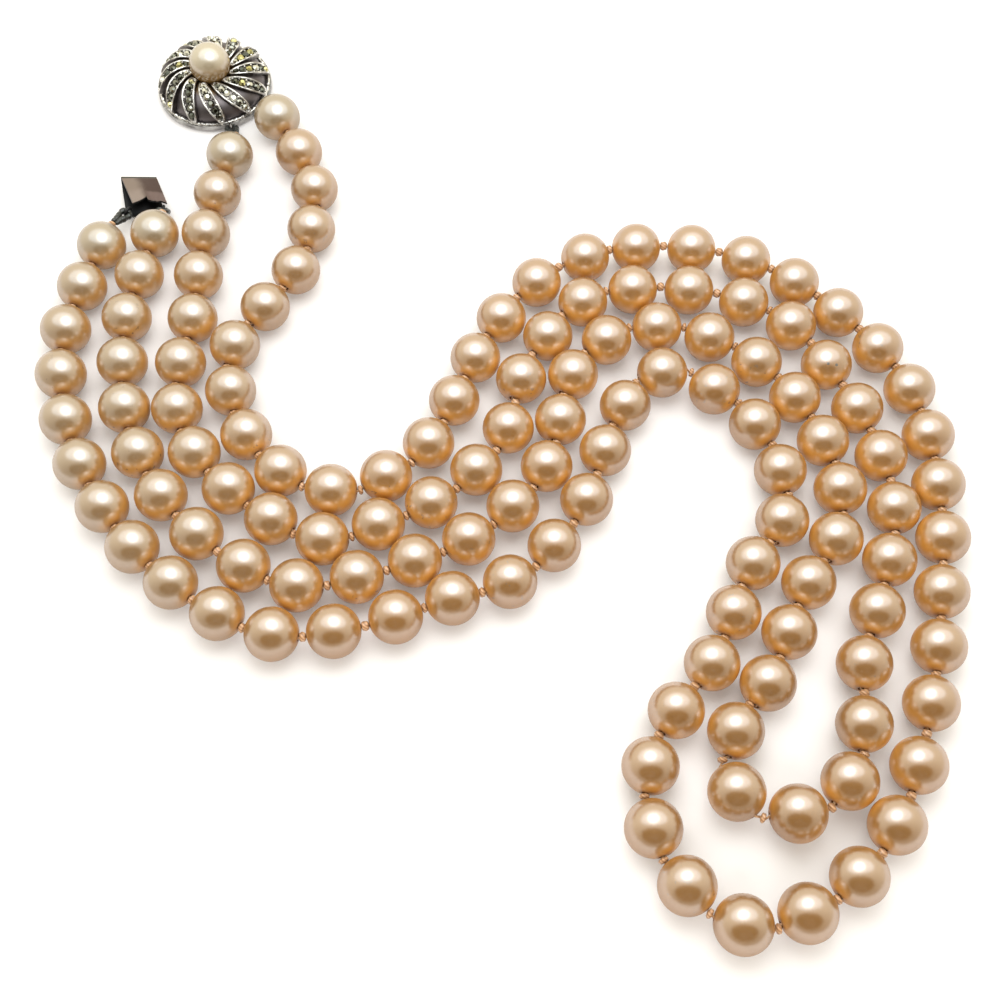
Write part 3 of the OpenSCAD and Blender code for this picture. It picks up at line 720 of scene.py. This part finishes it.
# Smooth dome between the rays: an arc of radius domeRise about the ring's centre line, and back
# inside it.
def makeDome(material):
    lean = np.radians(np.linspace(*domeSet["lean"], domeSet["steps"]))
    arc = claspSet["domeRise"] + claspSet["domeOver"]
    out = np.concatenate([np.full(len(lean), arc), np.full(len(lean), arc - domeSet["thick"])])
    lean = np.concatenate([lean, lean[::-1]])
    turn = np.linspace(0, turnOnce, domeSet["around"], endpoint=False)
    radius = np.broadcast_to(claspSet["crownR"] + out * np.cos(lean), (len(turn), len(lean)))
    points, quads = turned(radius, claspSet["crownBase"] + out * np.sin(lean), turn)
    makePiece("claspDome", points, quads, material)


rimSet = {"radius": 9.60, "thick": 0.30, "lift": 0.04, "lump": 0.04, "orders": (47, 66, 89, 31),
          "around": 360, "section": 10}


# Uneven silver rim on the flange: a round bead whose thickness is a sum of cosines of the turn.
def makeRim(material):
    turn = np.linspace(0, turnOnce, rimSet["around"], endpoint=False)
    ring = turnsOf(rimSet["section"])
    lumps = sum(rimSet["lump"] * np.cos(order * turn + chance.random() * turnOnce)
                for order in rimSet["orders"])
    thick = (rimSet["thick"] + lumps)[:, None]
    radius = rimSet["radius"] + thick * np.cos(ring)
    height = claspSet["flangeTop"] + rimSet["lift"] + thick * np.sin(ring)
    points, quads = turned(radius, height, turn)
    makePiece("claspRim", points, quads, material)


# Colours of the clasp's metals, each a dull and a bright one. The flange starts between the radii
# flangeFrom, below the heights flangeBelow, and inside the radii warmTo the dome has a painted warm
# reflection of the pearl.
silverSet = {"oxide": ((0.10, 0.09, 0.085), (0.24, 0.22, 0.21)),
             "flange": ((0.16, 0.15, 0.145), (0.46, 0.45, 0.43)),
             "rubbed": ((0.34, 0.32, 0.30), (0.90, 0.885, 0.86)),
             "violet": ((0.085, 0.072, 0.074), (0.20, 0.178, 0.182)),
             "warm": ((0.22, 0.13, 0.05), (0.36, 0.23, 0.095)),
             "flangeFrom": (8.75, 8.95), "flangeBelow": (1.5, 1.6), "warmTo": (4.6, 6.4)}


# Distance from the clasp's axis, the root of x x + y y, and the place itself, in millimetres.
def fromAxis(make, where):
    spot = make.node("VectorMath", {"operation": "SUBTRACT"}, {0: where, 1: tuple(claspAt)})
    spot = make.node("VectorMath", {"operation": "SCALE"}, {0: spot, "Scale": 1 / mm})
    x, y = (make.node("SeparateXYZ", {}, {"Vector": spot}, k) for k in range(2))
    return (x * x + y * y) ** 0.5, spot


# Silver of the case below the pieces on it: dark oxide with a rubbed flange.
def claspFinish(make):
    where = make.place()
    radius, spot = fromAxis(make, where)
    height = make.node("SeparateXYZ", {}, {"Vector": spot}, 2)
    flange = radius.step(*silverSet["flangeFrom"]) * (1 - height.step(*silverSet["flangeBelow"]))
    patina = make.noise(where, 600.0, 4)
    scratch = make.noise(where, 3000.0, 3)
    rubbed = patina.step(0.3, 0.7).mix(*silverSet["flange"])
    base = flange.mix(patina.mix(*silverSet["oxide"]), rubbed)
    return {"Base Color": base, "Metallic": 1.0, "Roughness": 0.24 + 0.16 * scratch,
            "Normal": make.bump(patina + 0.3 * scratch, 0.00012, 0.7)}


# Rubbed silver: bright, with dull grey patches and fine scratches.
def railFinish(make):
    where = make.place()
    patina = make.noise(where, 900.0, 4)
    scratch = make.noise(where, 4000.0, 3)
    silver = patina.step(0.36, 0.62).mix(*silverSet["rubbed"])
    return {"Base Color": silver, "Metallic": 1.0, "Roughness": 0.20 + 0.18 * scratch,
            "Normal": make.bump(patina + 0.4 * scratch, 0.00012, 0.8)}


# Oxidised dome: smooth grey with a violet cast, and a painted warm reflection of the pearl near it.
def domeFinish(make):
    where = make.place()
    radius = fromAxis(make, where)[0]
    patina = make.noise(where, 420.0, 4)
    # Painted reflection: the warm colours stand for the pearl mirrored in the dome near it.
    violet, warm = patina.mix(*silverSet["violet"]), patina.mix(*silverSet["warm"])
    return {"Base Color": radius.step(*silverSet["warmTo"]).mix(warm, violet), "Metallic": 0.9,
            "Roughness": 0.34 + 0.14 * patina, "Normal": make.bump(patina, 0.00006, 0.6)}


pyriteSet = {"pyrite": ((0.09, 0.092, 0.072), (0.70, 0.70, 0.62)), "fleck": (0.30, 0.30, 0.22),
             "gold": (0.66, 0.60, 0.25)}


# Marcasite: pyrite, dark green-grey and metallic, each stone of its own tone, with gold in a few.
def marcasiteFinish(make):
    where = make.place()
    tone, warm = make.attribute("tone"), make.attribute("warm")
    fleck = make.noise(where, 1400.0, 2)
    base = tone.step(0.3, 0.95).mix(*pyriteSet["pyrite"])
    base = (fleck.step(0.55, 0.75) * 0.5).mix(base, pyriteSet["fleck"])
    return {"Base Color": warm.mix(base, pyriteSet["gold"]), "Metallic": 1.0,
            "Roughness": 0.10 + 0.1 * fleck}


dress("clasp_case", makeMaterial("claspSilver", claspFinish))
railSilver = makeMaterial("railSilver", railFinish)
makeRails(railSilver)
makeDome(makeMaterial("domeOxide", domeFinish))
makeRim(railSilver)
makeStones(makeMaterial("marcasiteCut", marcasiteFinish))
makeGrains(railSilver)


creamSet = {"cream": ((0.34, 0.275, 0.18), (0.40, 0.33, 0.22)), "gold": (0.22, 0.125, 0.042),
            "goldTo": (6.4, 9.3), "tint": (1.0, 0.9, 0.7), "rings": 30, "around": 48}


# Cream pearl of the clasp: paler nacre, with a painted brown-gold reflection between the heights
# goldTo, down to the half that faces the silver.
def creamFinish(make):
    where = make.place()
    height = make.node("SeparateXYZ", {}, {"Vector": where}, 2) * (1 / mm)
    cloud = make.noise(where, 200.0, 3)
    # Painted reflection: brown-gold on the low half, which faces the silver.
    low = 1 - height.step(*creamSet["goldTo"])
    colour = low.mix(cloud.mix(*creamSet["cream"]), creamSet["gold"])
    return {"Base Color": colour, "Metallic": 0.15, "Roughness": 0.40 + 0.06 * cloud,
            "IOR": 1.3, "Specular Tint": creamSet["tint"],
            "Coat Weight": 1 - 0.45 * low, "Coat Roughness": 0.22, "Coat IOR": 3.1,
            "Normal": make.bump(cloud, 0.00003, 0.4)}


creamRadius = (claspBox[1] - claspBox[0])[0] / 2
claspPearlAt = claspAt + (claspBox[1][2] - creamRadius) * up
ballPoints, ballFaces = ball(creamRadius, creamSet["rings"], creamSet["around"])
makePiece("claspPearl", ballPoints + claspPearlAt, ballFaces,
          makeMaterial("creamNacre", creamFinish), ["clasp_pearl"])


# Tongue: millimetres in its own frame, which has its origin under the rear edge, between the rings.
tongueSet = {"place": (-58.7080, 41.1834, 0.77415), "lean": 14, "turn": 15, "foldAt": 8.2,
             "foldR": 0.4, "sheet": 0.3, "spring": 13, "half": 2.97, "rearHalf": 3.15,
             "drift": 0.75, "slant": 0.055, "bow": 0.10, "ringAt": 2.95, "ringZ": 1.15,
             "ringR": 0.75, "ringWire": 0.25,
             "edgeAt": (-1, -0.55, -0.28, -0.1, -0.05, 0.2, 0.32, 0.45, 0.58, 0.68, 0.85, 1),
             "edge": (7.61, 6.85, 6.2, 5.6, 6.55, 6.95, 6.9, 7.14, 7.0, 6.92, 7.25, 7.55),
             "taper": 0.12, "columns": 37, "lowerSteps": 12, "bendSteps": 12, "upperSteps": 26}
lean, turn = np.radians(tongueSet["lean"]), np.radians(tongueSet["turn"])
tongueTurn = (np.array([[np.cos(turn), -np.sin(turn), 0],
                        [np.sin(turn), np.cos(turn), 0], [0, 0, 1]])
              @ np.array([[np.cos(lean), 0, np.sin(lean)],
                          [0, 1, 0], [-np.sin(lean), 0, np.cos(lean)]]))


# Middle of a ring at the tongue's rear edge: left for the outer strand, right for the inner one.
def tongueRing(k):
    return np.array([(2 * k - 1) * tongueSet["ringAt"], tongueSet["ringWire"], tongueSet["ringZ"]])


# Ring of wire: a circle of radius ringR carried round its hole, in the plane of side and up.
def wireRing(middle, side, radius, wire, around=40, section=10):
    turn, ring = turnsOf(around)[:, None, None], turnsOf(section)[None, :, None]
    out = np.cos(turn) * side + np.sin(turn) * up
    points = (middle + out * (radius + wire * np.cos(ring))
              + np.cross(side, up) * wire * np.sin(ring))
    return points.reshape(-1, 3), gridQuads(around, section, True, True)


# Folded strip: a chain of points runs along the lower leaf, round the fold and out along the sprung
# leaf to a free edge that is its own distance for each column, and a second chain runs a sheet's
# thickness inside it. Sprung leaf: x = s half + drift t, raised by bow sin(pi t) (1 - s^2). Each
# ring points at the knot that is tied to it.
def makeTongue(material, knots):
    s = np.union1d(np.linspace(-1, 1, tongueSet["columns"]), tongueSet["edgeAt"])
    reach = np.interp(s, tongueSet["edgeAt"], tongueSet["edge"])
    spring = np.radians(tongueSet["spring"])
    foldAt, foldR, sheet = tongueSet["foldAt"], tongueSet["foldR"], tongueSet["sheet"]
    lower = np.linspace(0, 1, tongueSet["lowerSteps"])[:-1]
    bend = np.linspace(-np.pi / 2, np.pi / 2 + spring, tongueSet["bendSteps"])
    upper = np.linspace(0, 1, tongueSet["upperSteps"])[1:]
    back = np.array([-np.cos(spring), np.sin(spring)])
    rise = np.array([np.sin(spring), np.cos(spring)])
    chains = []
    for r in (foldR, foldR - sheet):
        under = np.stack([foldAt * lower, np.full(len(lower), foldR - r)], -1)
        fold = np.stack([foldAt + r * np.cos(bend), foldR + r * np.sin(bend)], -1)
        flat = np.concatenate([under, fold])[None] + 0 * s[:, None, None]
        t = upper[None, :, None] * np.ones((len(s), 1, 1))
        lift = rise * r + rise * tongueSet["bow"] * np.sin(np.pi * t) * (1 - s[:, None, None] ** 2)
        leaf = np.array([foldAt, foldR]) + lift + back * t * reach[:, None, None]
        chains.append(np.concatenate([flat, leaf], 1))
    steps = len(lower) + len(bend) + len(upper)
    share = np.concatenate([lower - 1, 0 * bend, upper])
    half, rearHalf = tongueSet["half"], tongueSet["rearHalf"]
    half = np.where(share < 0, half - share * (rearHalf - half), half - tongueSet["taper"] * share)
    x = s[:, None] * half + tongueSet["drift"] * np.clip(share, 0, 1) * np.ones((len(s), 1))
    slant = tongueSet["slant"] * x * (share > -0.5)
    outer, inner = (np.stack([x, yz[..., 0] - slant, yz[..., 1]], -1) for yz in chains)
    count = len(s) * steps
    points = np.concatenate([outer.reshape(-1, 3), inner.reshape(-1, 3)])
    quads = gridQuads(len(s), steps)
    left, rear = np.arange(steps - 1), np.arange(len(s) - 1) * steps
    right, free = left + (len(s) - 1) * steps, rear + steps - 1
    edges = ((left + 1, left), (right, right + 1), (rear, rear + steps), (free + steps, free))
    rims = [np.stack([a, b, b + count, a + count], -1) for a, b in edges]
    quads = np.concatenate([quads[:, ::-1], quads + count] + rims)
    across = np.tile(np.repeat(s, steps), 2)
    runs = np.tile(np.tile(share, len(s)), 2)
    inside = np.repeat([0.0, 1.0], count)
    surfaces = [(points, quads)]
    for k, knot in enumerate(knots):
        hole = tongueRing(k)
        toward = (knot / mm - tongueSet["place"]) @ tongueTurn - hole
        toward[2] = 0
        surfaces.append(wireRing(hole, unit(toward), tongueSet["ringR"], tongueSet["ringWire"]))
    points, faces = joined(surfaces)
    spare = len(points) - len(across)
    values = {"across": np.append(across, np.zeros(spare)),
              "runs": np.append(runs, np.full(spare, -1.0)),
              "inside": np.append(inside, np.zeros(spare))}
    points = (np.array(tongueSet["place"]) + points @ tongueTurn.T) * mm
    makePiece("tongueStrip", points, faces, material, ["tongue"], values=values)


# The last colour is painted shade, for the inside of the strip and the lower leaf.
metalSet = {"metal": ((0.215, 0.165, 0.138), (0.07, 0.041, 0.034)), "pale": (0.26, 0.205, 0.18),
            "streak": (0.20, 0.14, 0.13), "fold": (0.075, 0.068, 0.055),
            "inside": (0.012, 0.012, 0.013)}


# Tongue: brown-grey metal, paler at its left and palest near the free edge there, with light
# streaks on its right, a darker fold and a brushed grain. The inside and the lower leaf are painted
# near black as shade.
def tongueFinish(make):
    where = make.place()
    across, runs, inside = (make.attribute(key) for key in ("across", "runs", "inside"))
    stretched = make.node("Mapping", {}, {"Vector": where, "Scale": (1, 0.15, 1),
                                          "Rotation": (0, 0, -np.radians(tongueSet["turn"]))})
    grain = make.noise(stretched, 2600.0, 3)
    cloud = make.noise(where, 300.0, 3)
    bend = across + 0.5 * (cloud - 0.5)
    base = bend.step(-0.5, 0.25).mix(*metalSet["metal"])
    pale = (runs + 0.2 * cloud).step(0.55, 0.85) * (1 - bend.step(-0.4, 0.1))
    base = pale.mix(base, metalSet["pale"])
    streak = (runs + 0.1 * cloud).step(0.62, 0.74) * bend.step(-0.1, 0.3) * (0.5 + 0.5 * grain)
    base = (streak * 0.8).mix(base, metalSet["streak"])
    base = (1 - (runs + 0.03 * cloud).step(0.03, 0.09)).mix(base, metalSet["fold"])
    # Painted shade: the inside of the strip and the lower leaf under the sprung one turn near black.
    paintedShade = inside + (1 - runs.step(-0.02, 0.01))
    base = paintedShade.step(0.1, 0.5).mix(base, metalSet["inside"])
    return {"Base Color": base, "Metallic": 0.55, "Roughness": 0.34 + 0.15 * grain,
            "Normal": make.bump(grain, 0.00003, 0.5)}


makeTongue(makeMaterial("tongueMetal", tongueFinish), [strandEnds[node][0] for node in pearlNodes])


# End loops: thick wire wound round with finer wire, in millimetres.
loopSet = {"turns": (-32, -69.2528), "ringOut": 0.625, "ringZ": 1.15, "bend": 0.75, "stop": 0.8,
           "pinch": 0.34, "wire": 0.49, "coil": 0.04, "step": 0.5, "lump": 0.07,
           "orders": (3, 5, 8), "endLeast": 0.12, "arcSteps": 60, "legSteps": 30, "rings": 130,
           "section": 12, "black": ((0.003, 0.005, 0.0045), (0.03, 0.042, 0.035))}


# Loop from a knot through a ring: two legs and a half circle of radius bend about the ring's wire,
# carried by a ring of points whose radius rises and falls once a winding, swells in lumps, and
# narrows at both ends by the root of 1 - |2 share - 1|^16.
def coiledLoop(hole, knot, axis):
    ahead = unit(knot - hole)
    side = unit(axis - (axis @ ahead) * ahead)
    end = np.linalg.norm(knot - hole) - loopSet["stop"]
    arc = np.linspace(np.pi / 2, -np.pi / 2, loopSet["arcSteps"])
    leg = np.linspace(0, 1, loopSet["legSteps"])[:-1]
    bend = loopSet["bend"]
    x = np.concatenate([end + (bend - end) * leg, bend * (1 - np.cos(arc)),
                        bend + (end - bend) * (1 - leg[::-1])])
    near = loopSet["pinch"] + (bend - loopSet["pinch"]) * eased(leg, 0.3, 1)
    y = np.concatenate([near, bend * np.sin(arc), -near[::-1]])
    path = hole + x[:, None] * ahead + y[:, None] * side
    run = np.append(0, np.cumsum(np.linalg.norm(np.diff(path, axis=0), axis=1)))
    even = np.linspace(0, run[-1], loopSet["rings"])
    path = np.stack([np.interp(even, run, path[:, k]) for k in range(3)], -1)
    forward = unit(np.gradient(path, axis=0))
    out = np.cross(ahead, side)
    aside = np.cross(forward, out)
    ring = turnsOf(loopSet["section"])
    winding = np.abs(np.cos(np.pi * even[:, None] / loopSet["step"] - ring / 2))
    lump = sum(np.cos(order * even / run[-1] * turnOnce + chance.random() * turnOnce)
               for order in loopSet["orders"])
    ends = np.sqrt(np.clip(1 - np.abs(2 * even / run[-1] - 1) ** 16, loopSet["endLeast"], 1))
    radius = loopSet["wire"] + loopSet["coil"] * winding + loopSet["lump"] * lump[:, None] / 2
    radius = radius * ends[:, None]
    points = path[:, None] + radius[..., None] * (np.cos(ring)[:, None] * aside[:, None]
                                                  + np.sin(ring)[:, None] * out)
    faces = gridQuads(len(even), len(ring), False, True).tolist()
    last = (len(even) - 1) * len(ring)
    faces += [list(range(len(ring)))[::-1], list(range(last, last + len(ring)))]
    return points.reshape(-1, 3), faces


# The four end loops: for each strand, its last knot to a ring of the clasp and its first knot to a
# ring of the tongue.
def makeLoops(material):
    loops = []
    for k, node in enumerate(pearlNodes):
        first, last = (end / mm for end in strandEnds[node])
        turn = np.radians(loopSet["turns"][k])
        reach = claspSet["flangeR"] + loopSet["ringOut"]
        hole = claspAt / mm + [reach * np.cos(turn), reach * np.sin(turn), loopSet["ringZ"]]
        loops.append(coiledLoop(hole, last, np.array([-np.sin(turn), np.cos(turn), 0])))
        hole = tongueSet["place"] + tongueTurn @ tongueRing(k)
        toward = (first - hole) @ tongueTurn
        axis = tongueTurn @ unit(np.array([-toward[1], toward[0], 0]))
        loops.append(coiledLoop(hole, first, axis))
    points, faces = joined(loops)
    makePiece("endLoops", points * mm, faces, material, ["end_loops"])


# Covered wire: glossy green-black, paler in worn patches.
def wireFinish(make):
    where = make.place()
    worn = make.noise(where, 1300.0, 3)
    return {"Base Color": worn.step(0.5, 0.75).mix(*loopSet["black"]), "Metallic": 0.1,
            "Roughness": 0.28 + 0.14 * worn, "Coat Weight": 0.5, "Coat Roughness": 0.14,
            "Normal": make.bump(worn, 0.00006, 0.6)}


makeLoops(makeMaterial("coveredWire", wireFinish))
